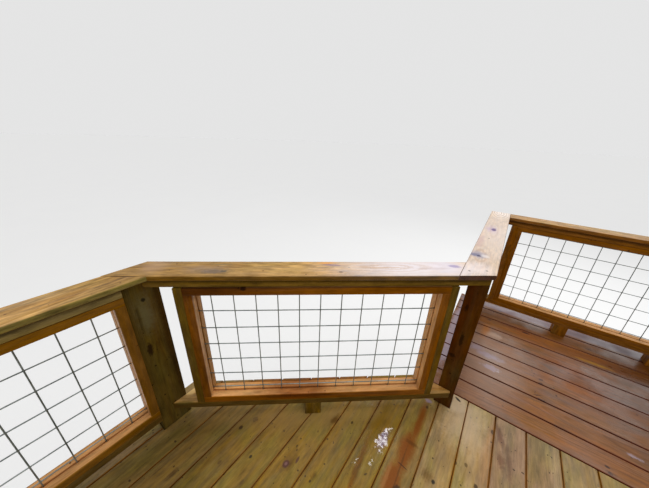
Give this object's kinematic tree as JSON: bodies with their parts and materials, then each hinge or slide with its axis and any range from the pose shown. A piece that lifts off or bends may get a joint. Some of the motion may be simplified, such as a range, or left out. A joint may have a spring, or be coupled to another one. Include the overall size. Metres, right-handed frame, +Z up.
{
  "type": "tree house deck",
  "caption": "Raised timber deck of a tree house with a stepped corner, a trunk opening and guard rails of framed wire panels.",
  "frame": {"origin": "on the ground, below the centre of the deck", "axes": "+X along the straight front rail, +Y out through the front rail, +Z up"},
  "size_m": [5.07, 3.905, 3.314],
  "materials": {
    "main_deck_pine": "wet yellow-brown pine boards with knots",
    "outer_deck_pine": "wet red-brown boards with a sky sheen",
    "cap_pine": "pale planed board, wet",
    "rail_pine": "olive-brown treated pine",
    "panel_cedar": "orange-brown cedar frame around galvanised wire",
    "frame_pine": "weathered brown framing timber"
  },
  "bodies": {
    "root": {"main_boards_left": "main_deck_pine", "trunk_boards_front": "main_deck_pine", "trunk_boards_rear": "main_deck_pine", "main_boards_right": "main_deck_pine", "strip_boards_outer": "outer_deck_pine", "left_rim": "frame_pine", "diagonal_rim": "frame_pine", "side_rim": "frame_pine", "front_rim": "frame_pine", "right_rim": "frame_pine", "back_rim": "frame_pine", "seam_joist": "frame_pine", "strip_joists_row": "frame_pine", "front_joists": "frame_pine", "rear_joists": "frame_pine", "cut_joist": "frame_pine", "trunk_headers": "frame_pine", "trunk_trimmer": "frame_pine", "beams": "frame_pine", "ground_posts": "frame_pine", "knee_braces": "frame_pine", "corner_post": "rail_pine", "rail_posts": "rail_pine", "left_cap": "cap_pine", "diagonal_cap": "cap_pine", "side_cap": "cap_pine", "front_cap": "cap_pine", "right_cap": "cap_pine", "left_top_rail": "rail_pine", "diagonal_top_rail": "rail_pine", "side_top_rail": "rail_pine", "front_top_rail": "rail_pine", "right_top_rail": "rail_pine", "left_bottom_rail": "rail_pine", "diagonal_bottom_rail": "rail_pine", "side_bottom_rail": "rail_pine", "front_bottom_rail": "rail_pine", "right_bottom_rail": "rail_pine", "rail_blocks": "rail_pine", "rail_studs": "rail_pine", "left_panel": "panel_cedar", "diagonal_panel": "panel_cedar", "side_panel": "panel_cedar", "front_panels": "panel_cedar", "right_panels": "panel_cedar"}
  },
  "joints": []
}
